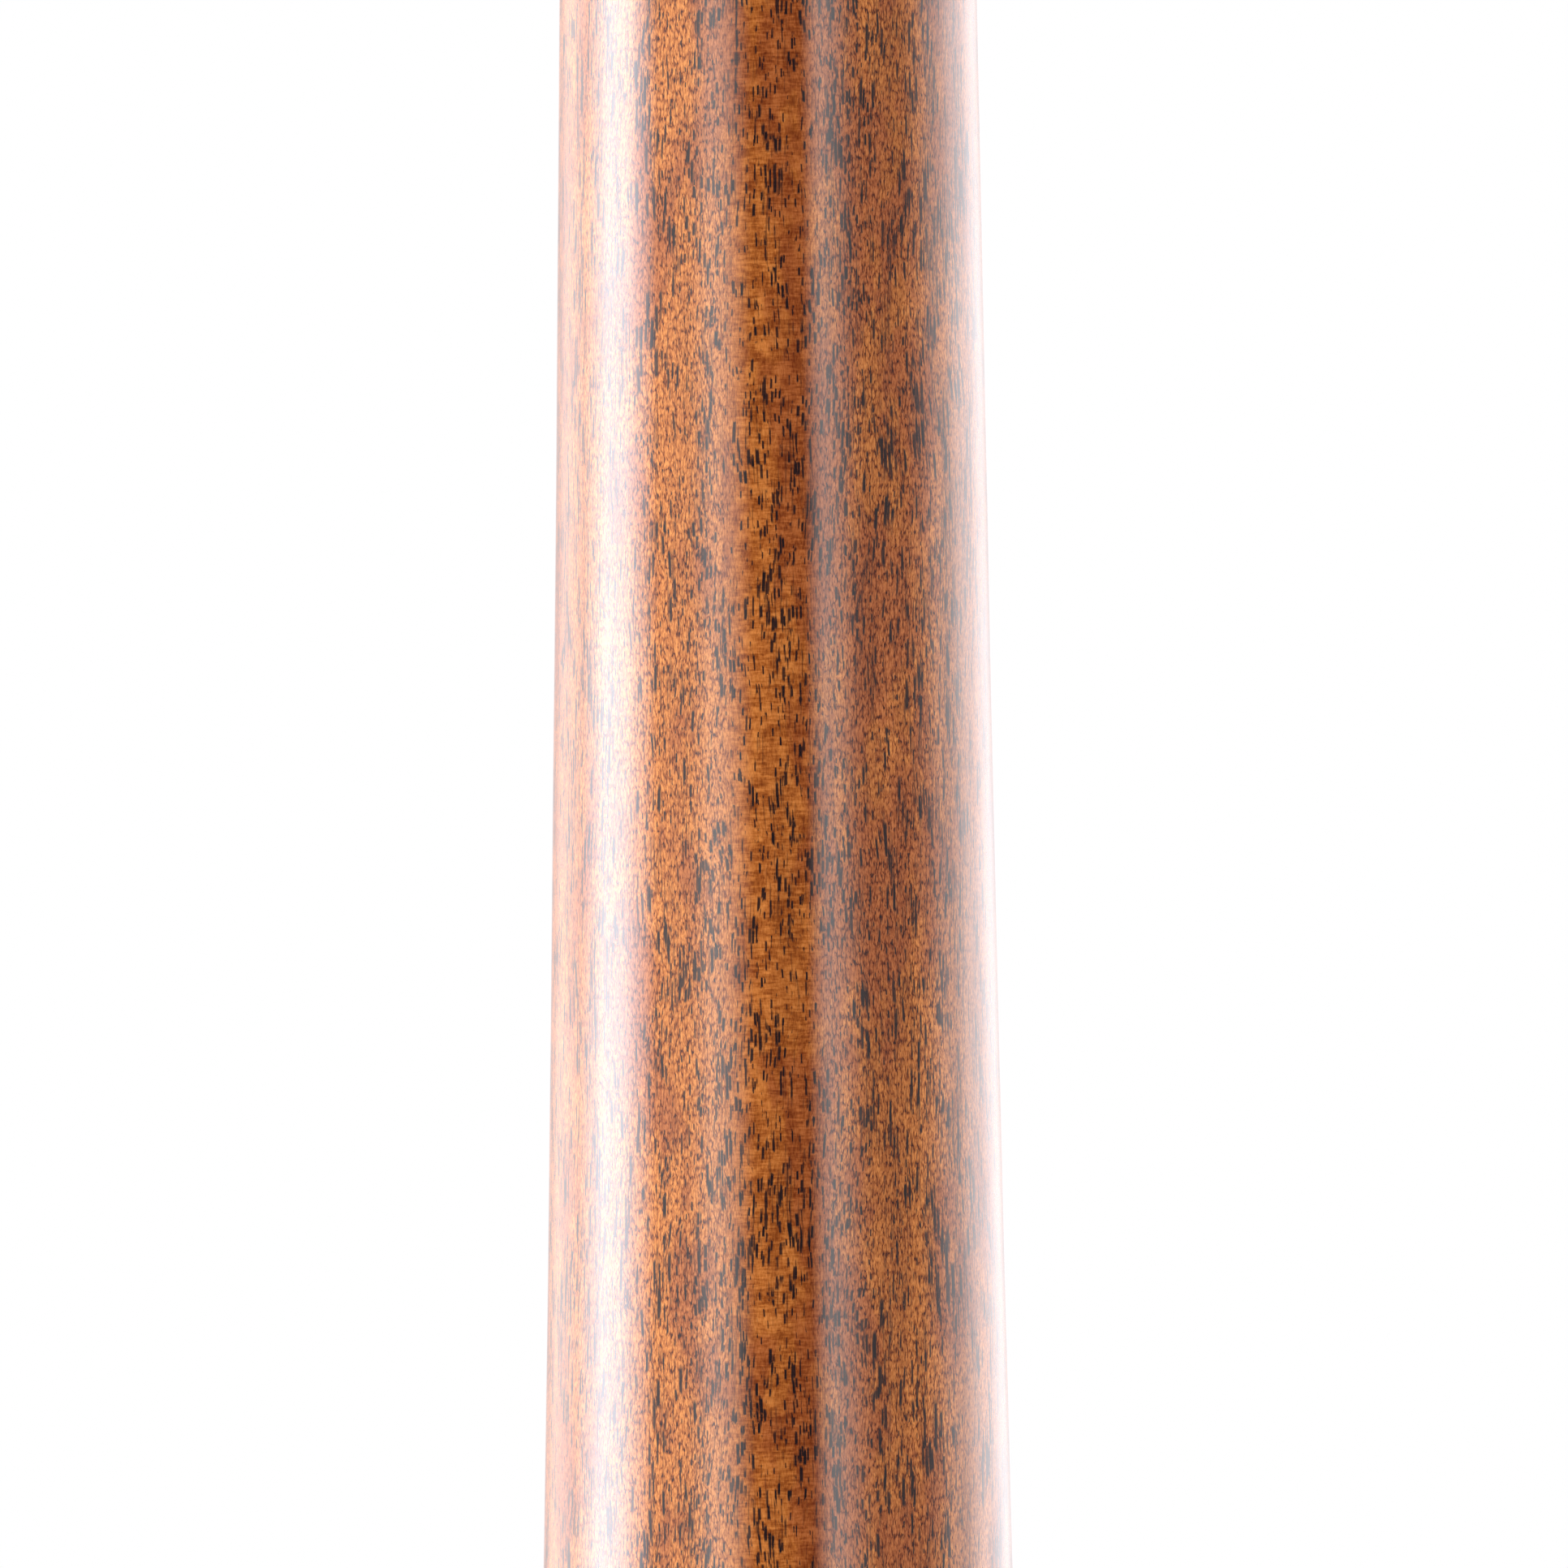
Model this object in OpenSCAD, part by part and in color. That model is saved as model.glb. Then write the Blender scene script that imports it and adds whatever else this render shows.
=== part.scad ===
// Didgeridoo: a turned hardwood drone pipe, glued up from two hollowed halves.
// It stands on its bell. Z runs up the bore from the bell's rest face to the lips,
// and the front of the instrument faces -Y. All sizes are in millimetres.

/* [Pipe] */
// Height from the rest face of the bell to the top of the lip wax
overall_h = 1300; // [1080:10:1600]
// Growth of the outside diameter from mouth to bell that the straight taper gives
taper_gain = 8.45; // [4:0.05:16]
// Further growth that the flare gives, most of it near the bell
flare_gain = 45; // [30:1:60]
// Power of the flare: a higher one keeps the pipe slim for longer
flare_power = 3; // [2:0.5:5]
// Wall between the bore and the outside
wall = 9; // [7:0.5:12]

/* [Seam] */
// Thickness of the loose tongues that register the halves, across the wall
tongue_t = 3; // [2:0.5:4]
// Width of the tongues, half of it in each half of the pipe
tongue_w = 9; // [6:0.5:12]
// Distance that the tongues stop short of the bell ring and of the mouthpiece socket
tongue_margin = 22; // [10:1:60]

/* [Bell ring] */
// Height of the ring that binds the bell
bell_ring_h = 16; // [10:1:30]
// Thickness of the ring's lip, which covers the end grain of the pipe
bell_lip_t = 4; // [2:0.5:6]
// Depth that the ring is let into the pipe
bell_ring_t = 3; // [2:0.5:4]
// Distance that the ring stands proud of the pipe
bell_ring_proud = 1; // [0.5:0.1:2]
// Radius of the ring's rounded edges
bell_round = 1.4; // [0.5:0.1:1.8]

/* [Mouthpiece] */
// Bore that the lips buzz into
mouth_bore_d = 29.5; // [27:0.5:32]
// Length of the bevel at the top of that bore, which is rounded over
mouth_round = 1.4; // [0.8:0.1:2]
// Height of the mouthpiece above the pipe
rim_h = 22; // [16:1:30]
// Radius of the mouthpiece at its waist, less than at its foot by this much
waist_in = 2.4; // [1:0.1:3]
// Radius of the rounded edges of the rim
rim_round = 1.6; // [0.8:0.1:2]
// Length of the tenon that pushes into the pipe
tenon_l = 30; // [22:1:40]
// Wall of the tenon
tenon_wall = 3.5; // [3:0.1:4.5]
// Radial play between the bare tenon and its socket
tenon_play = 0.3; // [0.2:0.05:0.5]
// Wall of the pipe around the socket
socket_wall = 5.65; // [5:0.05:8]
// Gap under the tenon when the mouthpiece is seated
socket_end_gap = 1; // [0.5:0.5:3]

/* [Cork] */
// Thickness of the cork that laps the tenon
cork_t = 1.8; // [1.2:0.1:2.2]
// Length of the cork
cork_l = 22; // [14:1:24]
// Radial play of the cork in the socket: it grips, but slides
cork_play = 0.05; // [0.02:0.01:0.1]

/* [Socket ring] */
// Height of the ring that keeps the socket from splitting
socket_ring_h = 12; // [8:1:20]
// Depth that the ring is let into the pipe
socket_ring_t = 2.4; // [1.5:0.1:2.8]
// Distance that the ring stands proud of the pipe
socket_ring_proud = 0.8; // [0.4:0.1:1.5]

/* [Lip wax] */
// Height of the beeswax above the rim
wax_h = 6; // [4:0.5:9]
// Height of the wax's upright foot, under its dome
wax_foot_h = 1.5; // [0.5:0.5:3]
// Distance that the wax lies in from both edges of the rim's flat
wax_inset = 0.5; // [0.2:0.1:1]

/* [Hidden] */
$fn = 96;

// Film of glue between turned faces that are glued together
glue = 0.02;
// Play around a tongue in its groove
tongue_play = 0.05;
// Number of straight stretches along the pipe's outline and its bore
stretches = 32;
// Number of steps in each rounded edge, and in each sweep of the mouthpiece's outline
round_steps = 6;
sweep_steps = 8;

// Levels, from the floor up
body_z0 = bell_lip_t;
seat_z = overall_h - wax_h - rim_h;
rim_z = seat_z + rim_h;
socket_z0 = seat_z - tenon_l - socket_end_gap;
socket_ring_z0 = seat_z - socket_ring_h;
tongue_z0 = bell_ring_h + tongue_margin;
tongue_z1 = socket_z0 - tongue_margin;

// Radii at the mouth end, from the bore outwards
mouth_r = mouth_bore_d / 2;
tenon_r = mouth_r + tenon_wall;
socket_r = tenon_r + tenon_play;
cork_r = socket_r - cork_play;
cork_inner_r = cork_r - cork_t;
mouth_end_r = socket_r + socket_wall;

// Outside and bore of the pipe at height z
function depth_share(z) = (overall_h - z) / overall_h;
function out_r(z) = mouth_end_r
    + (taper_gain * depth_share(z) + flare_gain * pow(depth_share(z), flare_power)) / 2;
function bore_r(z) = out_r(z) - wall;
function mid_wall_r(z) = out_r(z) - wall / 2;

// Heights from z0 to z1 in equal steps
function heights(z0, z1, n) = [for (i = [0 : n]) z0 + (z1 - z0) * i / n];

// A quarter of a circle round the point (x, z), from the angle a to a + 90 degrees
function quarter(x, z, r, a) =
    [for (i = [0 : round_steps]) let (t = a + 90 * i / round_steps) [x + r * cos(t), z + r * sin(t)]];
function reversed(list) = [for (i = [len(list) - 1 : -1 : 0]) list[i]];

// What the rings are let into, and how far out they reach
bell_rebate_r = out_r(bell_ring_h) - bell_ring_t;
socket_rebate_r = out_r(seat_z) - socket_ring_t;
socket_ring_r = out_r(socket_ring_z0) + socket_ring_proud;

// Half of the pipe's wall in section: bell rebate, outside, ring rebate, socket and bore
body_section = concat(
    [[bell_rebate_r, body_z0], [bell_rebate_r, bell_ring_h]],
    [for (z = heights(bell_ring_h, socket_ring_z0, stretches)) [out_r(z), z]],
    [[socket_rebate_r, socket_ring_z0], [socket_rebate_r, seat_z], [socket_r, seat_z], [socket_r, socket_z0]],
    [for (z = heights(socket_z0, body_z0, stretches)) [bore_r(z), z]]
);

// A strip that follows the middle of the wall, as wide across the wall as a tongue and twice the play
function strip(play) = concat(
    [for (z = heights(tongue_z0 - play, tongue_z1 + play, stretches)) [mid_wall_r(z) + tongue_t / 2 + play, z]],
    [for (z = heights(tongue_z1 + play, tongue_z0 - play, stretches)) [mid_wall_r(z) - tongue_t / 2 - play, z]]
);

// A tongue, or its groove where play is given. It lies across the seam on the +X side
module tongue(play = 0) {
    rotate([90, 0, 0])
        linear_extrude(height = tongue_w + 2 * play, center = true)
            polygon(strip(play));
}

// The half of the pipe on the +Y side, with its two half grooves
module body_half() {
    color([0.56, 0.31, 0.15])
        difference() {
            rotate_extrude(angle = 180) polygon(body_section);
            tongue(tongue_play);
            mirror([1, 0, 0]) tongue(tongue_play);
        }
}

module body_half_front() {
    rotate([0, 0, 180]) body_half();
}

module body_half_back() {
    body_half();
}

module seam_tongue_left() {
    color([0.84, 0.7, 0.5]) mirror([1, 0, 0]) tongue();
}

module seam_tongue_right() {
    color([0.84, 0.7, 0.5]) tongue();
}

// Ring with a lip under the pipe's end. The instrument rests on it
module bell_ring() {
    foot_r = out_r(0) + bell_ring_proud;
    top_r = out_r(bell_ring_h) + bell_ring_proud;
    section = concat(
        quarter(bore_r(0) + bell_round, bell_round, bell_round, 180),
        quarter(foot_r - bell_round, bell_round, bell_round, 270),
        quarter(top_r - bell_round, bell_ring_h - bell_round, bell_round, 0),
        [[bell_rebate_r + glue, bell_ring_h], [bell_rebate_r + glue, body_z0], [bore_r(body_z0), body_z0]]
    );
    color([0.2, 0.09, 0.06]) rotate_extrude() polygon(section);
}

// Plain bead round the socket, let into the pipe and flush with its end
module socket_ring() {
    edge = (socket_ring_t + socket_ring_proud) / 3;
    section = concat(
        [[socket_rebate_r + glue, socket_ring_z0]],
        quarter(socket_ring_r - edge, socket_ring_z0 + edge, edge, 270),
        quarter(socket_ring_r - edge, seat_z - edge, edge, 0),
        [[socket_rebate_r + glue, seat_z]]
    );
    color([0.2, 0.09, 0.06]) rotate_extrude() polygon(section);
}

// Outline of the mouthpiece above the pipe: foot, waist and rim, as two half waves
foot_r = socket_ring_r - 0.5;
waist_r = foot_r - waist_in;
rim_r = foot_r - 0.4;
waist_share = 0.4;
rim_share = 1 - rim_round / rim_h;

function half_wave(from, to, share) = from + (to - from) * (1 - cos(180 * share)) / 2;
rim_outline = concat(
    [for (i = [0 : sweep_steps]) [half_wave(foot_r, waist_r, i / sweep_steps),
                                  seat_z + rim_h * waist_share * i / sweep_steps]],
    [for (i = [1 : sweep_steps - 1]) [half_wave(waist_r, rim_r, i / sweep_steps),
                                      seat_z + rim_h * (waist_share + (rim_share - waist_share) * i / sweep_steps)]],
    quarter(rim_r - rim_round, rim_z - rim_round, rim_round, 0)
);

// Where the cork lies on the tenon
cork_z1 = seat_z - (tenon_l - cork_l) / 2;
cork_z0 = cork_z1 - cork_l;

module mouthpiece() {
    groove_r = cork_inner_r - glue;
    section = concat(
        [[mouth_r, seat_z - tenon_l], [tenon_r, seat_z - tenon_l]],
        [[tenon_r, cork_z0 - glue], [groove_r, cork_z0 - glue], [groove_r, cork_z1 + glue], [tenon_r, cork_z1 + glue]],
        [[tenon_r, seat_z]],
        rim_outline,
        quarter(mouth_r + mouth_round, rim_z - mouth_round, mouth_round, 90)
    );
    color([0.2, 0.09, 0.06]) rotate_extrude() polygon(section);
}

module tenon_cork() {
    color([0.78, 0.6, 0.4])
        translate([0, 0, cork_z0])
            difference() {
                cylinder(h = cork_l, r = cork_r);
                translate([0, 0, -1]) cylinder(h = cork_l + 2, r = cork_inner_r);
            }
}

// Moulded ring of beeswax on the rim: an upright foot under half an ellipse
module lip_wax() {
    inner_r = mouth_r + mouth_round + wax_inset;
    outer_r = rim_r - rim_round - wax_inset;
    half_w = (outer_r - inner_r) / 2;
    dome_steps = 4 * round_steps;
    section = concat(
        [[inner_r, rim_z], [outer_r, rim_z]],
        [for (i = [0 : dome_steps]) let (t = 180 * i / dome_steps)
            [inner_r + half_w * (1 + cos(t)), rim_z + wax_foot_h + (wax_h - wax_foot_h) * sin(t)]]
    );
    color([0.72, 0.5, 0.22]) rotate_extrude() polygon(section);
}

body_half_front();
body_half_back();
seam_tongue_left();
seam_tongue_right();
bell_ring();
socket_ring();
mouthpiece();
tenon_cork();
lip_wax();
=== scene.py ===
# %% [markdown]
# # A didgeridoo in lacquered hardwood
# A block of reddish-brown hardwood is sawn along its length, hollowed, and glued together again with two
# loose tongues in the seam. The outside is turned to one smooth flare and lacquered to a high gloss. Dark
# hardwood rings bind both ends, and a turned mouthpiece with a wax lip pushes into the upper end.
#
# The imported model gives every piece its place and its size. This lesson gives each piece its real surface.

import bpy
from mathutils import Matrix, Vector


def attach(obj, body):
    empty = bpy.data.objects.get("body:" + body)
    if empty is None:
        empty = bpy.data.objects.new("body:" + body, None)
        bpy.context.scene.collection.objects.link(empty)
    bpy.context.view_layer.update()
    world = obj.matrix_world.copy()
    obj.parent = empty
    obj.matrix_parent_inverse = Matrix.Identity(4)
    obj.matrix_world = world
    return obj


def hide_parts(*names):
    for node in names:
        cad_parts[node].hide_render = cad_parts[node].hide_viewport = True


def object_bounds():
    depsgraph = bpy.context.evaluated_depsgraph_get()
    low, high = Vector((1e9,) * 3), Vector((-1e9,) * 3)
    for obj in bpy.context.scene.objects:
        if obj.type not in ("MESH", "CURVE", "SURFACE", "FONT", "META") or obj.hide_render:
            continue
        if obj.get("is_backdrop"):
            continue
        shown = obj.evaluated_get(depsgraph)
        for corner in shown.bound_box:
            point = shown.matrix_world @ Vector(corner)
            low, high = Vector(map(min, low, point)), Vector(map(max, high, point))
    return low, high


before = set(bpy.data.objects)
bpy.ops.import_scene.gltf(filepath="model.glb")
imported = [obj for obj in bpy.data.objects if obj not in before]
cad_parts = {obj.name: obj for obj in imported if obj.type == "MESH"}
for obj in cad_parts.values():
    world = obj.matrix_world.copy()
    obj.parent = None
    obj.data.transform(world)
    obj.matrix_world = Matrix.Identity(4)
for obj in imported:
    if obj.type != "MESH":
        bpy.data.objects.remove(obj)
cad_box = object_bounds()

# %% Modules and the unit
import math

import bmesh
import bpy
import numpy as np

MM = 0.001

# %% [markdown]
# ## The pipe's outline
# Everything on the pipe hangs on one curve: its outer radius at each height. It is a straight taper plus a
# term that grows with the third power of the depth below the mouth end, so the upper half is nearly a plain
# cone and the bell opens faster and faster. The bore is the same curve, one wall thickness further in. As a
# formula it can be sampled as finely as the gloss needs, because lacquer shows every facet.

# %% Outline of the pipe
LENGTH = 1300 * MM
WALL = 9 * MM
MOUTH_END_R = 24.2 * MM
TAPER_GAIN = 8.45 * MM
FLARE_GAIN = 45 * MM
BODY_Z0, SEAT_Z = 4 * MM, 1272 * MM
BELL_RING_TOP, SOCKET_RING_Z0 = 16 * MM, 1260 * MM
SOCKET_Z0, SOCKET_R = 1241 * MM, 18.55 * MM


def outer_radius(z):
    """Mouth-end radius + half of (taper x depth share + flare x depth share cubed)."""
    share = (LENGTH - np.asarray(z, float)) / LENGTH
    return MOUTH_END_R + (TAPER_GAIN * share + FLARE_GAIN * share**3) / 2


print("outer diameter in mm at 0, 650 and 1260 mm:",
      [round(2000 * float(outer_radius(z)), 1) for z in (0, 0.65, 1.26)])

# %% [markdown]
# ## From a grid of points to a mesh
# All the pieces are grids: one direction goes round the piece, the other along it. One helper joins
# neighbours with quads by index arithmetic, and closes the grid where it runs round. Faces that meet at more
# than 40 degrees get a sharp edge, so turned faces look smooth and corners stay crisp.


# %% Grid to mesh
def quads(rows, columns, close_rows):
    """Index quads of a grid that is closed round its columns, and along its rows too if asked."""
    row = np.arange(rows if close_rows else rows - 1)[:, None]
    column = np.arange(columns)[None, :]
    beside, above = (column + 1) % columns, (row + 1) % rows
    corners = [row * columns + column, row * columns + beside, above * columns + beside, above * columns + column]
    return np.stack([c.ravel() for c in np.broadcast_arrays(*corners)], axis=1)


def weld(mesh):
    """Merges points that coincide, as they do where a groove ends, so that every face has an area."""
    work = bmesh.new()
    work.from_mesh(mesh)
    bmesh.ops.remove_doubles(work, verts=work.verts, dist=0.001 * MM)
    work.to_mesh(mesh)
    work.free()


def add_object(name, data):
    """Puts a new object in the scene, at the origin."""
    made = bpy.data.objects.new(name, data)
    bpy.context.scene.collection.objects.link(made)
    return made


def mesh_piece(name, points, faces, body, nodes, materials, face_material=None):
    """Makes the mesh, hands it to its CAD body, and lets it stand for its CAD node."""
    mesh = bpy.data.meshes.new(name)
    mesh.from_pydata(points.reshape(-1, 3).tolist(), [], [list(f) for f in faces])
    mesh.polygons.foreach_set("use_smooth", np.ones(len(mesh.polygons), bool))
    for material in materials:
        mesh.materials.append(material)
    if face_material is not None:
        mesh.polygons.foreach_set("material_index", np.asarray(face_material, np.int32))
    weld(mesh)
    mesh.update()
    mesh.set_sharp_from_angle(angle=math.radians(40))
    piece = add_object(name, mesh)
    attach(piece, body)
    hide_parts(*nodes)
    print(f"{name}: {len(mesh.vertices)} points, {len(mesh.polygons)} faces")
    return piece


# %% [markdown]
# ## Building materials from nodes
# A material is a small network. One helper adds a node, sets its options and fills its inputs: another
# node's output is linked, and anything else is typed in as a value. Effects that several finishes share are
# built once, as node groups with named sockets.


# %% Node helpers
def fresh_tree(owner):
    """Turns on the nodes of a material, a lamp or the world, and clears them."""
    owner.use_nodes = True
    owner.node_tree.nodes.clear()
    return owner.node_tree


def put(tree, kind, options=None, inputs=None):
    """Adds a node. Inputs are keyed by name or number, and hold a value or another node's output."""
    new = tree.nodes.new(kind)
    for key, value in (options or {}).items():
        setattr(new, key, value)
    for key, value in (inputs or {}).items():
        if isinstance(value, bpy.types.NodeSocket):
            tree.links.new(value, new.inputs[key])
        else:
            new.inputs[key].default_value = value
    return new


def sums(tree, operation, a, b=0.0, c=0.0, clamp=False):
    """One step of arithmetic on values."""
    return put(tree, "ShaderNodeMath", {"operation": operation, "use_clamp": clamp}, {0: a, 1: b, 2: c}).outputs[0]


def product(tree, a, b):
    """Two values multiplied."""
    return sums(tree, "MULTIPLY", a, b)


def linear(tree, value, gain, offset):
    """Value x gain + offset."""
    return sums(tree, "MULTIPLY_ADD", value, gain, offset)


def vectors(tree, operation, a, b=(0, 0, 0)):
    """One step of arithmetic on vectors."""
    return put(tree, "ShaderNodeVectorMath", {"operation": operation}, {0: a, 1: b}).outputs[0]


def scaled(tree, vector, factor):
    """A vector times one number."""
    return put(tree, "ShaderNodeVectorMath", {"operation": "SCALE"}, {0: vector, "Scale": factor}).outputs[0]


def parts(tree, vector):
    """The X, Y and Z of a vector."""
    return put(tree, "ShaderNodeSeparateXYZ", None, {0: vector}).outputs


def joined(tree, x=0.0, y=0.0, z=0.0):
    """A vector from its X, Y and Z."""
    return put(tree, "ShaderNodeCombineXYZ", None, {0: x, 1: y, 2: z}).outputs[0]


def channels(tree, colour):
    """The three channels of a colour."""
    return put(tree, "ShaderNodeSeparateColor", None, {0: colour}).outputs


def blend(tree, share, a, b):
    """Mixes two colours: sockets 0, 6 and 7 are the share and the colours, and output 2 is the mix."""
    return put(tree, "ShaderNodeMix", {"data_type": "RGBA"}, {0: share, 6: a, 7: b}).outputs[2]


def ramp(tree, value, low, high, to_low=0.0, to_high=1.0):
    """Smoothly takes the stretch low..high of a value to to_low..to_high."""
    return put(tree, "ShaderNodeMapRange", {"interpolation_type": "SMOOTHSTEP"},
               {0: value, 1: low, 2: high, 3: to_low, 4: to_high}).outputs[0]


def noise(tree, vector, scale=1.0, detail=2.0, roughness=0.5):
    """Smooth random lumps, as a value and as a colour."""
    return put(tree, "ShaderNodeTexNoise", None,
               {"Vector": vector, "Scale": scale, "Detail": detail, "Roughness": roughness}).outputs


def group(name, inputs, outputs):
    """Starts a node group with named sockets. An input is (name, kind, default), an output (name, kind)."""
    tree = bpy.data.node_groups.new(name, "ShaderNodeTree")
    for label, kind, default in inputs:
        socket = tree.interface.new_socket(label, in_out="INPUT", socket_type="NodeSocket" + kind)
        socket.default_value = default
    for label, kind in outputs:
        tree.interface.new_socket(label, in_out="OUTPUT", socket_type="NodeSocket" + kind)
    return tree, tree.nodes.new("NodeGroupInput").outputs, tree.nodes.new("NodeGroupOutput").inputs


def use(tree, made, **inputs):
    """Places a group in a material. Underscores in a name stand for spaces."""
    named = {key.replace("_", " "): value for key, value in inputs.items()}
    return put(tree, "ShaderNodeGroup", {"node_tree": made}, named).outputs


# %% [markdown]
# ## Wood is a solid
# Grain is not painted on a surface. It runs through the block, and turning the pipe only lays it bare. So
# the wood is a pattern in space, read at each surface point. In this block the growth layers are stacked
# along X, and the grain runs along Z but wanders a little, mostly along Y. Everything that follows the grain
# reads a place that is shifted by that wander.

# %% The block, and the wander of its grain
LENS_WIDTH, LENS_HEIGHT = 0.27, 4.2  # a lens of the ripple: its width in mm, and its height in widths
MASKS = ("Vessels", "Fine Vessels", "Ripple", "Flecks", "Fibres", "Bands", "Clouds")
grain, gi, go = group(
    "Grain of the block",
    [("Place", "Vector", (0, 0, 0)), ("Board", "Vector", (0, 0, 0)), ("Facing", "Float", 1.0),
     ("Wander", "Float", 1.0), ("Vessel Spacing", "Float", 0.72), ("Vessel Length", "Float", 5.2),
     ("Vessel Amount", "Float", 0.33), ("Ripple Width", "Float", LENS_WIDTH)],
    [(label, "Float") for label in MASKS])


def times(a, b):
    """Product of two values in the grain group."""
    return product(grain, a, b)


def lumps(vector, size, detail=1.0, roughness=0.5):
    """Noise whose lumps have that size in mm along X, Y and Z."""
    return noise(grain, vectors(grain, "MULTIPLY", vector, [1 / s for s in size]), 1.0, detail, roughness)


def swing(vector, size, reach):
    """Noise as a shift in mm: its colour, less one half, times the reach along X, Y and Z."""
    centred = vectors(grain, "SUBTRACT", lumps(vector, size)["Color"], (0.5, 0.5, 0.5))
    return vectors(grain, "MULTIPLY", centred, reach)


# from here on, places are in mm: place = object place x 1000 + the board's place in the plank
place = vectors(grain, "ADD", scaled(grain, gi["Place"], 1 / MM), gi["Board"])
slow, fine_tremble = swing(place, (16, 22, 75), (3.0, 8.0, 0.0)), swing(place, (5, 5, 12), (1.3, 1.3, 0.0))
along = vectors(grain, "ADD", place, scaled(grain, vectors(grain, "ADD", slow, fine_tremble), gi["Wander"]))
print("the grain wanders by up to 4 mm along Y and 1.5 mm along X")

# %% [markdown]
# ## The ripple
# Rays are thin ribbons that reach out through the wood along X. Towards the sides of the pipe they are seen
# end on, as a fine ripple of small upright lenses. Stretched cells in space would be the obvious way, but on
# a round surface they give scales and swirls. So the ripple is laid round the surface, by arc length and
# height, and every lens stays upright and the same size.

# %% Ripple
def lenses_round():
    """Place on the surface in lenses: (atan2(x, |y|) x radius / width, z / height), with a small sway."""
    x, y, z = parts(grain, place)
    y = sums(grain, "ABSOLUTE", y)
    radius = sums(grain, "SQRT", sums(grain, "ADD", times(x, x), times(y, y)))
    around = times(sums(grain, "ARCTAN2", x, y), radius)
    sway_x, _, sway_z = parts(grain, swing(place, (1.3, 1.3, 1.8), (0.7, 0.7, 0.8)))
    return joined(grain,
                  sums(grain, "DIVIDE", sums(grain, "ADD", sway_x, around), gi["Ripple Width"]),
                  sums(grain, "DIVIDE", sums(grain, "ADD", sway_z, z), times(gi["Ripple Width"], LENS_HEIGHT)))


# bright in the middle of a lens and dark at its seams, and some lenses brighter than others
lens = put(grain, "ShaderNodeTexVoronoi", {"voronoi_dimensions": "2D"},
           {"Vector": lenses_round(), "Scale": 1.0, "Randomness": 0.8}).outputs
brightness = linear(grain, channels(grain, lens["Color"])[0], 0.35, 0.8)
ripple = sums(grain, "SUBTRACT", brightness, lens["Distance"], clamp=True)
print("a lens is", LENS_WIDTH, "mm wide and", round(LENS_WIDTH * LENS_HEIGHT, 2), "mm tall")

# %% [markdown]
# ## The vessels
# Vessels are long tubes along the grain, filled with dark dust and lacquer. At the front the surface cuts
# them into short dashes. Towards the sides it runs along them, and they show as long fine lines. The length
# and number of spots cut from noise would be hard to steer. So they are cells of a Voronoi pattern stretched
# along the grain, and boxy distances give them square ends.

# %% Vessels
RAGGED = 0.09  # how far the ripple pushes a vessel's wall in and out, in cells


def tubes(seed, width, length, reach):
    """Dark where the boxy distance to a cell's centre is under the reach times 0.45 to 1.4, cell by cell."""
    size = joined(grain, width, width, length)
    cell = put(grain, "ShaderNodeTexVoronoi", {"distance": "CHEBYCHEV"},
               {"Vector": vectors(grain, "DIVIDE", vectors(grain, "ADD", along, seed), size), "Scale": 1.0}).outputs
    own = channels(grain, cell["Color"])
    reach = times(reach, linear(grain, own[0], 0.95, 0.45))
    ragged = linear(grain, ripple, -RAGGED, sums(grain, "ADD", cell["Distance"], RAGGED / 2))
    darkest = linear(grain, own[1], 0.1, 0.9)
    return ramp(grain, ragged, reach, times(reach, 0.6), 0.0, darkest)


# where vessels crowd and where they thin out
crowd = ramp(grain, lumps(along, (3.4, 3.4, 9), 2.0, 0.6)["Fac"], 0.36, 0.62, 0.6, 1.2)
spacing, length, reach = gi["Vessel Spacing"], gi["Vessel Length"], times(gi["Vessel Amount"], crowd)
# facing goes from 1 at the front to 0 at the sides: short vessels belong to the front, long ones to the sides
front, flank = ramp(grain, gi["Facing"], 0.7, 0.96), ramp(grain, gi["Facing"], 0.8, 0.45)
short = tubes((0, 0, 0), times(spacing, 0.85), times(length, 0.45),
              times(reach, ramp(grain, front, 0, 1, 0.55, 1.0)))
middling = tubes((31.7, 11.3, 5.1), times(spacing, 0.93), length,
                 times(reach, ramp(grain, front, 0, 1, 0.96, 0.72)))
long = tubes((12.9, 41.3, 9.4), times(spacing, 0.5), times(length, 3.2), times(reach, times(flank, 0.85)))
vessels = sums(grain, "MAXIMUM", sums(grain, "MAXIMUM", short, middling), long)
fine_vessels = tubes((7.9, 61.2, 17.7), times(spacing, 0.55), times(length, 2.0), times(reach, 0.8))
print("grain group so far:", len(grain.nodes), "nodes")

# %% [markdown]
# ## Rays side on, fibres and tone
# At the front the rays are seen from their side, as faint bars across the grain. Fibres are a very fine
# thread along it. Slower than both are bands along the grain and redder clouds. Plain noise at the right
# size gives them all. This plank also has one broad pale band, one red band, and one red patch higher up.
# Chance would not put those in their places, so their places are given.

# %% Rays, fibres and slow changes of tone
PALE_BAND, RED_BAND = -9.5, 7.0  # where the two broad bands of this plank lie along X, in mm
RED_PATCH = (-2.0, -27.0, 755.0)


def band(middle, edge, core):
    """1 within the core's half width of a plane across X, and 0 beyond the edge's."""
    return ramp(grain, sums(grain, "ABSOLUTE", sums(grain, "SUBTRACT", across, middle)), edge, core)


across = parts(grain, along)[0]
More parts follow.
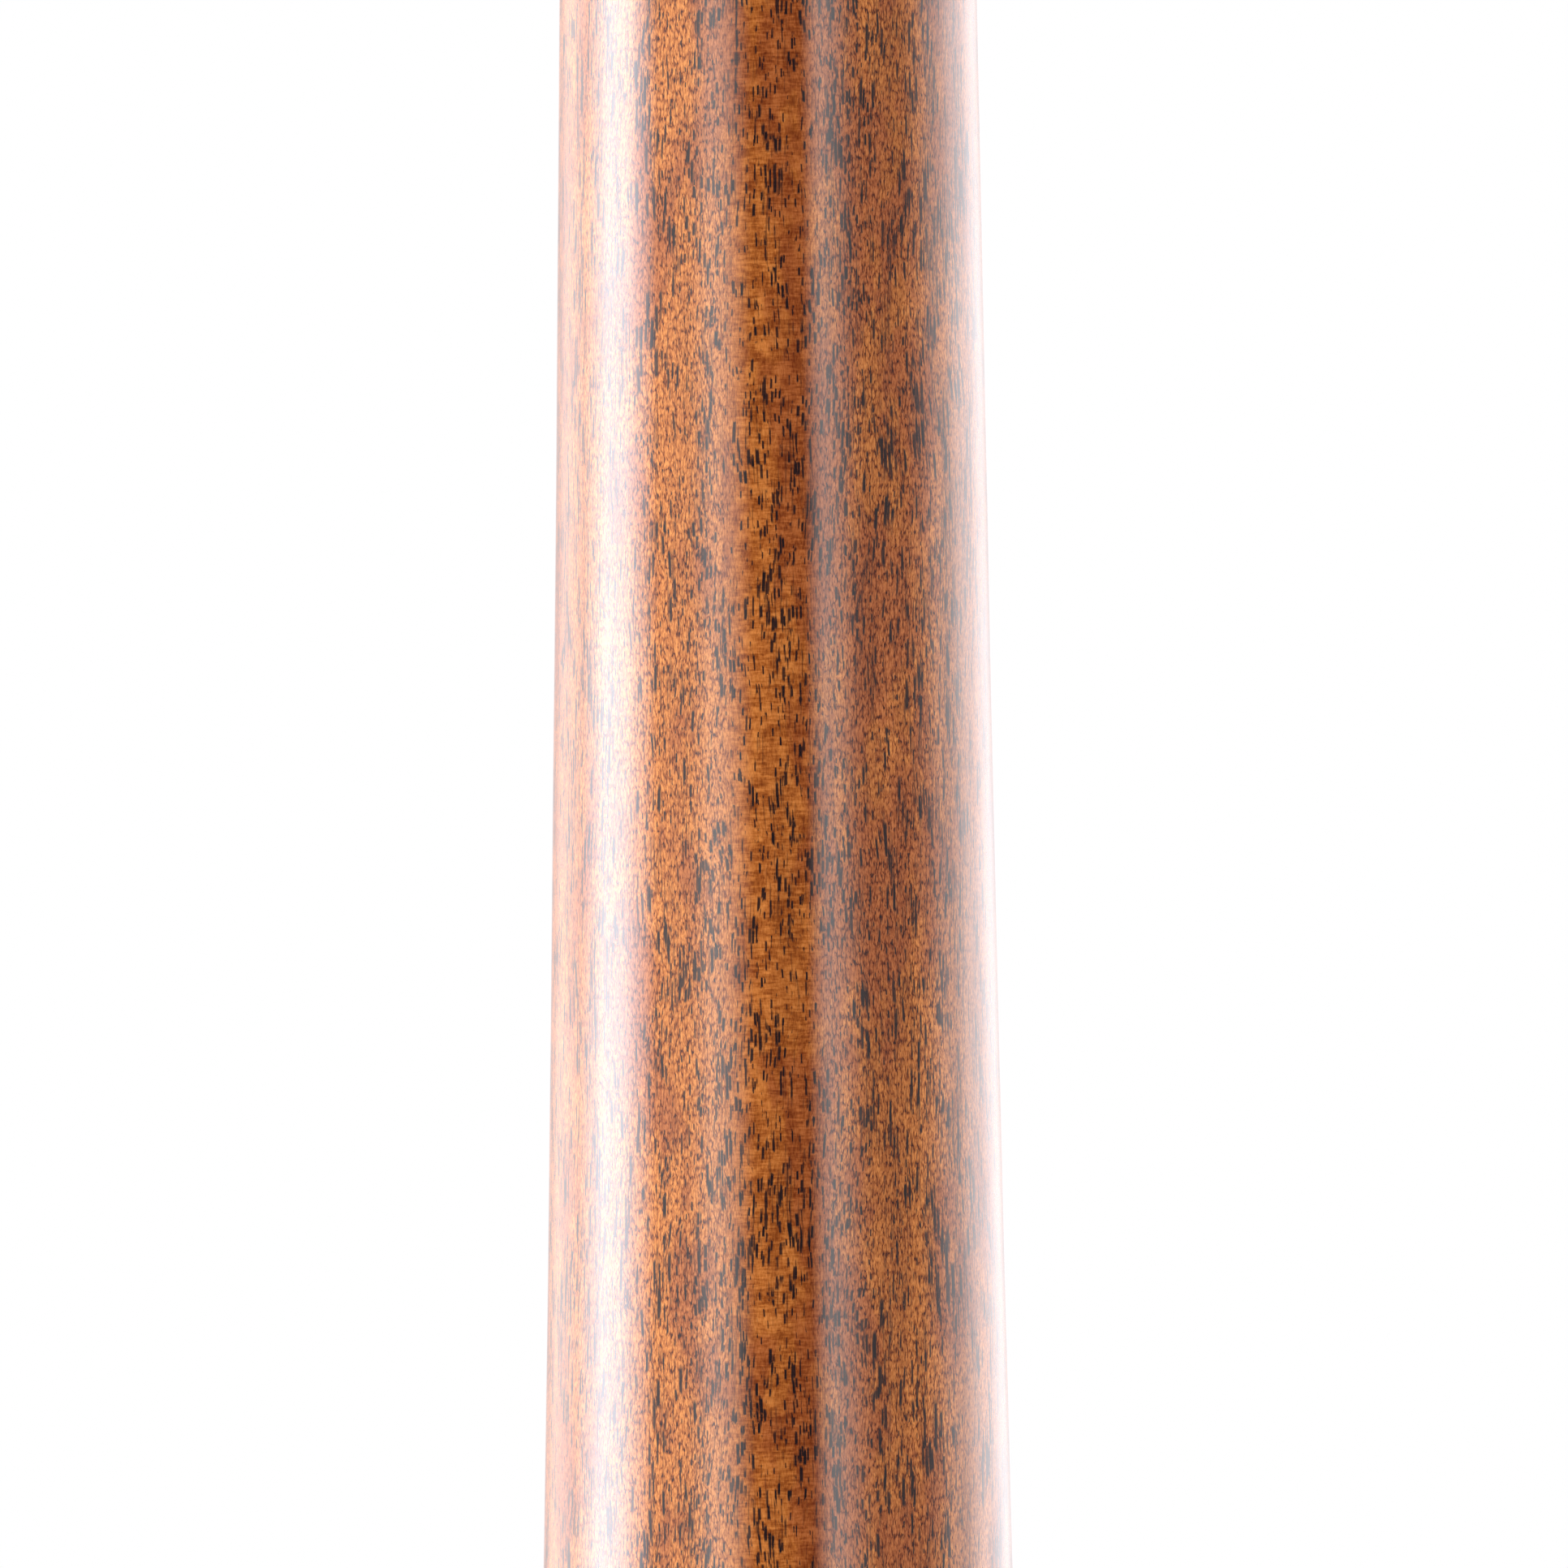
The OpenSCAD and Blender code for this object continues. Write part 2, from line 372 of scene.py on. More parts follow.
# the flecks are thin bars along X on a slower mottle
bars = lumps(place, (1.9, 2.5, 0.34), 2.0, 0.6)["Fac"]
mottle = lumps(along, (2.6, 4, 2.4), 3.0, 0.65)["Fac"]
flecks = linear(grain, mottle, 0.55, times(bars, 0.45))
fibres = lumps(along, (0.17, 0.17, 0.7), 2.0, 0.6)["Fac"]
bands = sums(grain, "ADD", lumps(along, (3.2, 9, 80), 3.0, 0.6)["Fac"],
             linear(grain, band(PALE_BAND, 11.0, 3.0), 0.2, -0.02))
clouds = sums(grain, "ADD", lumps(along, (9, 9, 24), 4.0, 0.65)["Fac"], times(band(RED_BAND, 7.0, 2.0), 0.09))
from_patch = vectors(grain, "MULTIPLY", vectors(grain, "SUBTRACT", along, RED_PATCH), (1 / 9, 1 / 30, 1 / 19))
from_patch = put(grain, "ShaderNodeVectorMath", {"operation": "LENGTH"}, {0: from_patch}).outputs["Value"]
clouds = sums(grain, "ADD", clouds, ramp(grain, from_patch, 1.3, 0.5, 0.0, 0.14))
for label, value in zip(MASKS, (vessels, fine_vessels, ripple, flecks, fibres, bands, clouds)):
    grain.links.new(value, go[label])
print("grain group:", len(grain.nodes), "nodes")

# %% [markdown]
# ## From grain to colour
# The masks say where things are, and a second group says what they look like: two tones for the ground, a
# redder one for the clouds, and a nearly black one for the vessels. It also gives a height, because open
# grain is never quite level.

# %% Colours of the wood
tones, ti, to = group(
    "Tones of the wood",
    [(label, "Float", 0.5) for label in MASKS]
    + [("Facing", "Float", 1.0), ("Pale", "Color", (0.4, 0.15, 0.04, 1)), ("Deep", "Color", (0.2, 0.06, 0.015, 1)),
       ("Red", "Color", (0.16, 0.03, 0.012, 1)), ("Vessel Colour", "Color", (0.012, 0.010, 0.012, 1)),
       ("Relief", "Float", 0.35), ("Cloud Strength", "Float", 0.6)],
    [("Colour", "Color"), ("Height", "Float")])


def of_both(a, b):
    """Product of two values in the tones group."""
    return product(tones, a, b)


tone = linear(tones, ti["Bands"], 0.7, of_both(ti["Flecks"], 0.3))
ground = blend(tones, ramp(tones, tone, 0.3, 0.64), ti["Deep"], ti["Pale"])
redness = of_both(ramp(tones, ti["Clouds"], 0.5, 0.6), ti["Cloud Strength"])
ground = blend(tones, redness, ground, ti["Red"])
print("tones group so far:", len(tones.nodes), "nodes")

# %% [markdown]
# ## Light and shade in the wood
# Bars, lenses and threads are not a different colour. The rays are real figure, but the light and shade that they
# catch is painted into the colour: it multiplies the ground's colour, channel by channel, and doesn't replace it.

# %% Relief of the wood
# bars only at the front, lenses everywhere else and weaker at the very sides, threads weaker at the front
front, edge = ramp(tones, ti["Facing"], 0.935, 0.99), ramp(tones, ti["Facing"], 0.5, 0.15)
bars = of_both(ramp(tones, ti["Flecks"], 0.38, 0.62, -0.8, 0.8), front)
hidden = linear(tones, edge, 0.75, front)
lenses = of_both(ramp(tones, ti["Ripple"], 0.3, 0.62, -1.25, 0.95), linear(tones, hidden, -0.85, 1.0))
threads = of_both(ramp(tones, ti["Fibres"], 0.37, 0.63, -0.95, 1.0), linear(tones, front, -0.6, 1.0))
relief = sums(tones, "ADD", sums(tones, "ADD", bars, lenses), threads)
# painted light and shade: the relief of bars, lenses and threads brightens and darkens the wood's colour
gain = linear(tones, relief, ti["Relief"], 1.0)
# a dark seam goes redder and a bright core yellower: red changes least, and blue most
gains = joined(tones, *(sums(tones, "POWER", gain, power) for power in (0.85, 1.2, 1.5)))
lit = vectors(tones, "MULTIPLY", ground, gains)
lit = blend(tones, of_both(ti["Fine Vessels"], 0.5), lit, ti["Vessel Colour"])
lit = blend(tones, of_both(ti["Vessels"], 0.99), lit, ti["Vessel Colour"])
tones.links.new(lit, to["Colour"])
tones.links.new(sums(tones, "SUBTRACT", of_both(relief, 0.3), ti["Vessels"]), to["Height"])
print("tones group:", len(tones.nodes), "nodes")

# %% [markdown]
# ## Marks of making and of use
# Turning leaves very fine rings, not quite evenly spaced: a sine of the height, which slow noise pushes
# about. Hands leave faint smears in a gloss, and dust settles in patches: both are noise with a soft
# threshold.

# %% Turning lines
turning, ui, uo = group(
    "Turning lines", [("Place", "Vector", (0, 0, 0)), ("Pitch", "Float", 0.5), ("Unevenness", "Float", 1.0)],
    [("Lines", "Float")])
# lines = (1 + sine of a full turn per pitch) / 2, with the height pushed about by slow noise
height = product(turning, parts(turning, ui["Place"])[2], 1 / MM)
level = sums(turning, "DIVIDE", height, ui["Pitch"])
wobble = noise(turning, joined(turning, z=level), 0.35, 2.0)["Fac"]
level = sums(turning, "ADD", level, product(turning, wobble, ui["Unevenness"]))
wave = sums(turning, "SINE", product(turning, level, 2 * math.pi))
turning.links.new(linear(turning, wave, 0.5, 0.5), uo["Lines"])
print("turning group:", len(turning.nodes), "nodes")

# %% Handling
handling, hi, ho = group(
    "Handling", [("Place", "Vector", (0, 0, 0)), ("Smear Size", "Float", 25.0)],
    [("Smears", "Float"), ("Dust", "Float")])
spot = scaled(handling, hi["Place"], 1 / MM)
smear_size = joined(handling, hi["Smear Size"], hi["Smear Size"], product(handling, hi["Smear Size"], 1.7))
smears = noise(handling, vectors(handling, "DIVIDE", spot, smear_size), 1.0, 4.0, 0.6)["Fac"]
handling.links.new(ramp(handling, smears, 0.42, 0.72), ho["Smears"])
dust = noise(handling, scaled(handling, spot, 0.9), 1.0, 4.0, 0.75)["Fac"]
handling.links.new(ramp(handling, dust, 0.55, 0.8), ho["Dust"])
print("handling group:", len(handling.nodes), "nodes")

# %% [markdown]
# ## Lacquered hardwood
# High gloss over wood is two surfaces: a hard clear film that mirrors the lamps sharply, and the wood
# underneath, which scatters light softly and keeps its own fine relief. The Principled shader has both: its
# coat is the film and stays smooth, while colour, roughness and bump belong to the wood. One function makes
# every wood here, because they differ only in tints, gloss and grain.


# %% A new finish, and the way its surface faces
def new_material(name):
    """A material with one Principled shader, and the place on the object in metres."""
    material = bpy.data.materials.new(name)
    tree = fresh_tree(material)
    shader = put(tree, "ShaderNodeBsdfPrincipled")
    put(tree, "ShaderNodeOutputMaterial", None, {"Surface": shader.outputs[0]})
    where = put(tree, "ShaderNodeTexCoord").outputs["Object"]
    return material, tree, shader, where


def facing_share(tree, where):
    """1 where the surface faces along Y, and 0 along X: y squared / (x squared + y squared)."""
    x, y, _ = parts(tree, where)
    xx, yy = product(tree, x, x), product(tree, y, y)
    return sums(tree, "DIVIDE", yy, sums(tree, "ADD", sums(tree, "ADD", xx, yy), 1e-8))


def relief_of(tree, shader, height, strength, depth):
    """Raises and sinks the surface by up to that depth in metres."""
    bump = put(tree, "ShaderNodeBump", None, {"Strength": strength, "Distance": depth, "Height": height})
    tree.links.new(bump.outputs[0], shader.inputs["Normal"])


# %% Wood finishes
DUST_SHARE, DUST_COLOUR = 0.012, (0.5, 0.45, 0.4, 1)
SMEAR_ROUGHNESS, SMEAR_COAT = 0.06, -0.08
HARD_FILM = 0.9  # above this coat weight the lacquer hides the wood's own shine


def wood(name, board, tints, coat, coat_roughness, roughness, bump, spacing=0.6, vessel_length=5.5, amount=0.33,
         painted_shading=0.44, cloud=0.55, turned=0.0, pitch=0.5):
    """Wood from one place in the plank, in four tints: pale, deep, red, and the dark of the vessels."""
    material, tree, shader, where = new_material(name)
    pale, deep, red, dark = tints
    facing = facing_share(tree, where)
    masks = use(tree, grain, Place=where, Board=board, Facing=facing, Vessel_Spacing=spacing,
                Vessel_Length=vessel_length, Vessel_Amount=amount)
    look = use(tree, tones, **{label: masks[label] for label in MASKS}, Facing=facing, Pale=pale, Deep=deep,
               Red=red, Vessel_Colour=dark, Relief=painted_shading, Cloud_Strength=cloud)
    marks = use(tree, handling, Place=where)
    colour, height = look["Colour"], look["Height"]
    if turned:
        lines = use(tree, turning, Place=where, Pitch=pitch)["Lines"]
        colour = blend(tree, product(tree, lines, turned * 0.35), colour, deep)
        height = sums(tree, "ADD", height, product(tree, lines, turned))
    colour = blend(tree, product(tree, marks["Dust"], DUST_SHARE), colour, DUST_COLOUR)
    tree.links.new(colour, shader.inputs["Base Color"])
    smeared = linear(tree, marks["Smears"], SMEAR_ROUGHNESS, roughness)
    tree.links.new(linear(tree, masks["Vessels"], 0.15, smeared), shader.inputs["Roughness"])
    if coat:
        film = linear(tree, marks["Smears"], SMEAR_COAT, coat)
        tree.links.new(film, shader.inputs["Coat Weight"])
        shader.inputs["Coat Roughness"].default_value = coat_roughness
        shader.inputs["Coat IOR"].default_value = 1.5
    shader.inputs["Specular IOR Level"].default_value = 0.0 if coat > HARD_FILM else 0.35
    relief_of(tree, shader, height, bump, 0.1 * MM)
    print(f"{name}: {len(tree.nodes)} nodes")
    return material


# %% [markdown]
# ## The woods of this instrument
# The two halves come from different parts of the plank, so each gets its own place in the block, and the seam
# shows only because the grain changes there. The bore is burnished with oil and never lacquered, and keeps
# coarse tool rings. The sawn faces are bare. The rings and the mouthpiece are of a darker, denser wood with
# finer grain and a thin polish, and the tongues of a pale one.

# %% The woods of this instrument
LACQUERED = ((0.40, 0.119, 0.024, 1), (0.25, 0.066, 0.012, 1), (0.20, 0.040, 0.013, 1), (0.007, 0.006, 0.009, 1))
OILED = ((0.22, 0.07, 0.02, 1), (0.10, 0.03, 0.009, 1), (0.07, 0.018, 0.008, 1), (0.008, 0.007, 0.007, 1))
BARE = ((0.45, 0.19, 0.07, 1), (0.28, 0.1, 0.035, 1), (0.2, 0.06, 0.025, 1), (0.02, 0.015, 0.013, 1))
DARK = ((0.085, 0.028, 0.013, 1), (0.026, 0.009, 0.006, 1), (0.035, 0.008, 0.005, 1), (0.004, 0.003, 0.003, 1))
BLOND = ((0.62, 0.43, 0.24, 1), (0.48, 0.31, 0.16, 1), (0.45, 0.26, 0.13, 1), (0.2, 0.12, 0.06, 1))

front_wood = wood("lacquered hardwood, front", (0, 0, 0), LACQUERED, 1.0, 0.05, 0.42, 0.35)
back_wood = wood("lacquered hardwood, back", (140, 260, 610), LACQUERED, 1.0, 0.05, 0.42, 0.35)
bore_wood = wood("oiled bore", (0, 0, 0), OILED, 0.0, 0.0, 0.62, 0.8, turned=0.8, pitch=2.4)
cut_wood = wood("sawn and glued faces", (0, 0, 0), BARE, 0.0, 0.0, 0.7, 0.8)
dark_wood = wood("dark hardwood", (55, 80, 30), DARK, 0.45, 0.1, 0.4, 0.5, spacing=0.5, vessel_length=6.0,
                 amount=0.16, painted_shading=0.18, cloud=0.5, turned=0.25, pitch=0.45)
tongue_wood = wood("pale tongue wood", (15, 33, 70), BLOND, 0.0, 0.0, 0.6, 0.5, spacing=0.4, vessel_length=5.0,
                   amount=0.12, painted_shading=0.12)

# %% [markdown]
# ## The two halves of the pipe
# Each half is one closed skin. Round it, the section runs along the outside, across one glued face with its
# groove, back along the bore, and across the other glued face. Along it, the section follows the outline,
# with steps where the rings are let in and where the socket opens. A turned and hand-rubbed surface is never
# quite true: its radius swells and sinks by a few hundredths of a millimetre, which makes the long
# reflections waver.

# %% Rows of a half, and the waver of its outside
TURNS = 76  # quads round the outside of a half
ROW, STEP = 4.5 * MM, 0.02 * MM  # height of a row, and of the rows that make a step
BELL_REBATE, SOCKET_REBATE = 3 * MM, 2.4 * MM
GROOVE_Z0, GROOVE_Z1, GROOVE_DEEP, GROOVE_HALF = 38 * MM, 1219 * MM, 4.55 * MM, 1.55 * MM


def levels():
    """Heights of the rows: fine enough for the flare, and doubled where the outline steps."""
    stops = np.array([BODY_Z0, BELL_RING_TOP, GROOVE_Z0, GROOVE_Z1, SOCKET_Z0, SOCKET_RING_Z0, SEAT_Z])
    rows = [np.linspace(a, b, max(2, int(round((b - a) / ROW)) + 1))[1:-1] for a, b in zip(stops, stops[1:])]
    steps = np.concatenate([stops[1:-1] - STEP / 2, stops[1:-1] + STEP / 2])
    return np.sort(np.concatenate(rows + [steps, stops[[0, -1]]]))


def waver(angle, z):
    """Sum of slow waves round and along the pipe, at most about 0.04 mm."""
    total = np.zeros(np.broadcast(angle, z).shape)
    for turns, length, size, phase in zip(
            (0, 1, 2, 1, 3, 2, 5), (0.19, 0.11, 0.085, 0.052, 0.07, 0.037, 0.045),
            (0.012, 0.012, 0.010, 0.006, 0.006, 0.004, 0.003), np.random.default_rng(7).uniform(0, 2 * np.pi, 7)):
        total = total + size * MM * np.sin(turns * angle + 2 * np.pi * z / length + phase)
    return total


print("rows:", len(levels()), "and waver up to",
      round(float(np.abs(waver(np.linspace(0, 6.28, 90)[None, :], levels()[:, None])).max() / MM), 3), "mm")


# %% [markdown]
# ## One closed skin
# A tube cut out by a modifier would have ragged faces at the grooves and steps. Here the columns run once
# round the whole section, so the outside, the bore, both glued faces and their grooves are one array, and
# only the ends need faces of their own. Where a groove ends, its columns meet, and the weld takes out the
# faces that have no area left.

# %% Section of a half
def half_grid(side):
    """Point (height, place round the section). The outside is at outer_radius + waver, the bore at
    outer_radius - WALL, and each glued face has a groove round the middle of the wall."""
    z = levels()[:, None]
    angle = np.linspace(0, np.pi, TURNS + 1)[None, :] + (0 if side > 0 else np.pi)
    outer = outer_radius(z) + waver(angle, z)
    outer = np.where(z < BELL_RING_TOP, outer_radius(BELL_RING_TOP) - BELL_REBATE, outer)
    outer = np.where(z > SOCKET_RING_Z0, outer_radius(SEAT_Z) - SOCKET_REBATE, outer)
    inner = np.where(z > SOCKET_Z0, SOCKET_R, outer_radius(z) - WALL) + 0 * angle
    depth = np.where((z > GROOVE_Z0) & (z < GROOVE_Z1), GROOVE_DEEP, 0.0) * side
    across_wall = outer_radius(z) - WALL / 2 + np.array([1, 1, -1, -1]) * GROOVE_HALF
    deep = np.concatenate([0 * z, depth, depth, 0 * z], axis=1)
    first = np.cos(angle[0, 0])  # the seam at which the outside starts: +1 on the back half, -1 on the front
    far_seam = np.stack([-first * across_wall, deep, z + 0 * across_wall], axis=2)
    near_seam = np.stack([first * across_wall[:, ::-1], deep, z + 0 * across_wall], axis=2)
    skin = np.stack([outer * np.cos(angle), outer * np.sin(angle), z + 0 * outer], axis=2)
    bore = np.stack([inner * np.cos(angle), inner * np.sin(angle), z + 0 * inner], axis=2)[:, ::-1]
    return np.concatenate([skin, far_seam, bore, near_seam], axis=1)


def half_ends(rows, columns):
    """End faces: a strip of quads across the wall, and a polygon at each seam that takes in the groove."""
    a, bore0 = np.arange(1, TURNS - 1), TURNS + 5
    strip = np.stack([a, a + 1, bore0 + TURNS - a - 1, bore0 + TURNS - a], axis=1).tolist()
    strip += [[TURNS - 1, *range(TURNS, bore0 + 2)], [0, 1, *range(bore0 + TURNS - 1, columns)]]
    top = (rows - 1) * columns
    return [face[::-1] for face in strip] + [[top + i for i in face] for face in strip]


def half_pipe(name, node, side, outside):
    """One half: 0 is the lacquered outside, 1 the bore, and 2 every face that the rings or the glue hide."""
    grid = half_grid(side)
    rows, columns = grid.shape[:2]
    ends = half_ends(rows, columns)
    column, height = np.tile(np.arange(columns), rows - 1), levels()
    middle = np.repeat((height[1:] + height[:-1]) / 2, columns)
    in_bore = (column >= TURNS + 5) & (column < 2 * TURNS + 5)
    kind = np.where(column < TURNS, 0, np.where(in_bore, 1, 2))
    kind = np.where((kind == 0) & ((middle < BELL_RING_TOP) | (middle > SOCKET_RING_Z0)), 2, kind)
    return mesh_piece(name, grid, quads(rows, columns, False).tolist() + ends, "pipe", [node],
                      [outside, bore_wood, cut_wood], np.append(kind, [2] * len(ends)))


half_pipe("pipe_front_half", "body_half_front", -1, front_wood)
half_pipe("pipe_back_half", "body_half_back", 1, back_wood)

# %% [markdown]
# ## Turned pieces
# The rings, the mouthpiece, the cork and the wax are profiles carried round the axis. A profile is a closed
# line of (radius, height) points, run anticlockwise, so that every face points outwards. Blender's Spin tool
# leaves doubled points at its seam, and may turn the faces inside out.


# %% Lathe
def arc(r, z, radius, start, steps=10):
    """Quarter circle round (r, z), from start to start + 90 degrees."""
    t = np.radians(np.linspace(start, start + 90, steps + 1))
    return np.stack([r + radius * np.cos(t), z + radius * np.sin(t)], axis=1)


def straight(*stops, step=0.8 * MM):
    """Points along straight stretches, no further apart than step."""
    stops = np.array(stops, float)
    lengths = np.hypot(*np.diff(stops, axis=0).T)
    counts = np.maximum(1, np.ceil(lengths / step).astype(int))
    shares = [np.arange(n)[:, None] / n for n in counts]
    return np.concatenate([a + (b - a) * s for a, b, s in zip(stops, stops[1:], shares)] + [stops[-1:]])


def without_doubles(profile):
    """Drops a point that lies on the one before it."""
    gap = np.hypot(*(profile - np.roll(profile, 1, axis=0)).T)
    return profile[gap > 1e-7]


def lathe(name, profile, body, node, materials, turns=160, shape=None, kind=None):
    """Point (place on the profile, angle) = (r cos, r sin, z), after shape has moved it."""
    profile = without_doubles(profile)
    angle = np.linspace(0, 2 * np.pi, turns, endpoint=False)[None, :]
    r, z = profile[:, :1] + 0 * angle, profile[:, 1:] + 0 * angle
    if shape:
        r, z = shape(r, z, angle)
    grid = np.stack([r * np.cos(angle), r * np.sin(angle), z], axis=2)
    faces = quads(len(profile), turns, True)
    which = None if kind is None else np.repeat(kind(profile), turns)
    return mesh_piece(name, grid, faces.tolist(), body, [node], materials, which)


# %% [markdown]
# ## The rings
# The bell's ring is let into the pipe's foot and wraps its edge, which takes the knocks, so all its corners
# are well rounded. The socket's ring keeps the upper end from splitting when the mouthpiece is pushed in.
# Both carry shallow cuts in the profile itself, where they catch real highlights.

# %% The bell's ring
FOOT_R, TOP_R = float(outer_radius(0)) + 1 * MM, float(outer_radius(BELL_RING_TOP)) + 1 * MM
BELL_BORE_R, BODY_BORE_R = float(outer_radius(0)) - WALL, float(outer_radius(BODY_Z0)) - WALL
BELL_ROUND = 1.4 * MM
SLIP = 0.02 * MM  # play between a ring and its rebate, and round the cork
BELL_SEAT_R = float(outer_radius(BELL_RING_TOP)) - BELL_REBATE + SLIP


def scored(start, end, at, depth=0.35 * MM, width=0.45 * MM, step=0.15 * MM):
    """A straight flank with V cuts at the given heights, as a turner's point tool leaves them."""
    z = np.arange(start[1], end[1], step)[1:]
    r = start[0] + (end[0] - start[0]) * (z - start[1]) / (end[1] - start[1])
    cut = np.max([np.clip(1 - np.abs(z - a) / width, 0, 1) for a in at], axis=0)
    return np.stack([r - depth * cut, z], axis=1)


bell_profile = np.concatenate([
    arc(BELL_BORE_R + BELL_ROUND, BELL_ROUND, BELL_ROUND, 180),
    straight((BELL_BORE_R + BELL_ROUND, 0), (FOOT_R - BELL_ROUND, 0)),
    arc(FOOT_R - BELL_ROUND, BELL_ROUND, BELL_ROUND, 270),
    scored((FOOT_R, BELL_ROUND), (TOP_R, BELL_RING_TOP - BELL_ROUND), (4.6 * MM, 12.2 * MM)),
    arc(TOP_R - BELL_ROUND, BELL_RING_TOP - BELL_ROUND, BELL_ROUND, 0),
    straight((TOP_R - BELL_ROUND, BELL_RING_TOP), (BELL_SEAT_R, BELL_RING_TOP), (BELL_SEAT_R, BODY_Z0),
             (BODY_BORE_R, BODY_Z0), (BELL_BORE_R, BELL_ROUND))])
lathe("bell_binding", bell_profile, "pipe", "bell_ring", [dark_wood], turns=224)

# %% The socket's ring
SOCKET_SEAT_R = float(outer_radius(SEAT_Z)) - SOCKET_REBATE + SLIP
SOCKET_RING_R = float(outer_radius(SOCKET_RING_Z0)) + 0.8 * MM
EDGE = 3.2 * MM / 3  # radius of the ring's two outer edges
socket_profile = np.concatenate([
    straight((SOCKET_SEAT_R, SOCKET_RING_Z0), (SOCKET_RING_R - EDGE, SOCKET_RING_Z0)),
    arc(SOCKET_RING_R - EDGE, SOCKET_RING_Z0 + EDGE, EDGE, 270),
    scored((SOCKET_RING_R, SOCKET_RING_Z0 + EDGE), (SOCKET_RING_R, SEAT_Z - EDGE), (1266 * MM,)),
    arc(SOCKET_RING_R - EDGE, SEAT_Z - EDGE, EDGE, 0),
    straight((SOCKET_RING_R - EDGE, SEAT_Z), (SOCKET_SEAT_R, SEAT_Z), (SOCKET_SEAT_R, SOCKET_RING_Z0))])
lathe("socket_binding", socket_profile, "pipe", "socket_ring", [dark_wood])

# %% [markdown]
# ## The mouthpiece
# The mouthpiece is turned with a hollow waist and a rounded rim: two half waves and two quarter circles. A
# half wave starts and ends upright, so the waist runs into the foot and the rim without a crease. The tenon
# below the foot has a wide groove for its cork.

# %% The mouthpiece
MOUTH_R, TENON_R, CORK_R, CORK_IN_R = 14.75 * MM, 18.25 * MM, 18.5 * MM, 16.7 * MM
TENON_Z0, CORK_Z0, CORK_Z1, RIM_Z = 1242 * MM, 1246 * MM, 1268 * MM, 1294 * MM
FOOT, WAIST, RIM = SOCKET_RING_R - 0.5 * MM, SOCKET_RING_R - 2.9 * MM, SOCKET_RING_R - 0.9 * MM
WAIST_Z = SEAT_Z + 0.4 * (RIM_Z - SEAT_Z)
RIM_ROUND, MOUTH_ROUND = 1.6 * MM, 1.4 * MM


def half_wave(start, end, z0, z1, steps=30):
    """Half of a cosine wave from one radius to another."""
    share = np.linspace(0, 1, steps + 1)
    return np.stack([start + (end - start) * (1 - np.cos(np.pi * share)) / 2, z0 + (z1 - z0) * share], axis=1)


groove_r, groove_z0, groove_z1 = CORK_IN_R - SLIP, CORK_Z0 - SLIP, CORK_Z1 + SLIP
mouthpiece_profile = np.concatenate([
    straight((MOUTH_R, TENON_Z0), (TENON_R, TENON_Z0), (TENON_R, groove_z0), (groove_r, groove_z0),
             (groove_r, groove_z1), (TENON_R, groove_z1), (TENON_R, SEAT_Z), (FOOT, SEAT_Z)),
    half_wave(FOOT, WAIST, SEAT_Z, WAIST_Z),
    half_wave(WAIST, RIM, WAIST_Z, RIM_Z - RIM_ROUND),
    arc(RIM - RIM_ROUND, RIM_Z - RIM_ROUND, RIM_ROUND, 0),
    arc(MOUTH_R + MOUTH_ROUND, RIM_Z - MOUTH_ROUND, MOUTH_ROUND, 90),
    straight((MOUTH_R, RIM_Z - MOUTH_ROUND), (MOUTH_R, TENON_Z0), step=2 * MM)])
lathe("mouthpiece_turned", mouthpiece_profile, "mouthpiece", "mouthpiece", [dark_wood])


# %% [markdown]
# ## Cork and wax as materials
# Sheet cork is pressed from crumbs, so it is packed cells of several tones, with dark pits between some of
# them. Beeswax lets light a little way in, which softens its shadows, and dents and a dull bloom show that
# it was moulded by hand.

# %% Cork finish
def cork_finish():
    """Pale ground, packed cells in several tones, and a few dark pits."""
    material, tree, shader, where = new_material("sheet cork")
    spot = scaled(tree, where, 1 / MM)
    cell = put(tree, "ShaderNodeTexVoronoi", None, {"Vector": spot, "Scale": 0.75}).outputs
    tint = noise(tree, spot, 0.9, 4.0, 0.7)["Fac"]
    colour = blend(tree, ramp(tree, tint, 0.3, 0.7), (0.24, 0.125, 0.05, 1), (0.48, 0.29, 0.135, 1))
    own = product(tree, channels(tree, cell["Color"])[0], 0.45)
    colour = blend(tree, own, colour, (0.2, 0.095, 0.035, 1))
    pits = noise(tree, vectors(tree, "MULTIPLY", spot, (1.6, 1.6, 0.9)), 1.0, 3.0)["Fac"]
    pits = ramp(tree, pits, 0.62, 0.7)
    colour = blend(tree, product(tree, pits, 0.85), colour, (0.06, 0.03, 0.015, 1))
    tree.links.new(colour, shader.inputs["Base Color"])
    marks = use(tree, handling, Place=where, Smear_Size=9.0)
    tree.links.new(linear(tree, marks["Smears"], -0.2, 0.75), shader.inputs["Roughness"])
    lumpy = sums(tree, "SUBTRACT", product(tree, cell["Distance"], -0.5), pits)
    relief_of(tree, shader, lumpy, 0.8, 0.2 * MM)
    return material


cork = cork_finish()
print(f"{cork.name}: {len(cork.node_tree.nodes)} nodes")


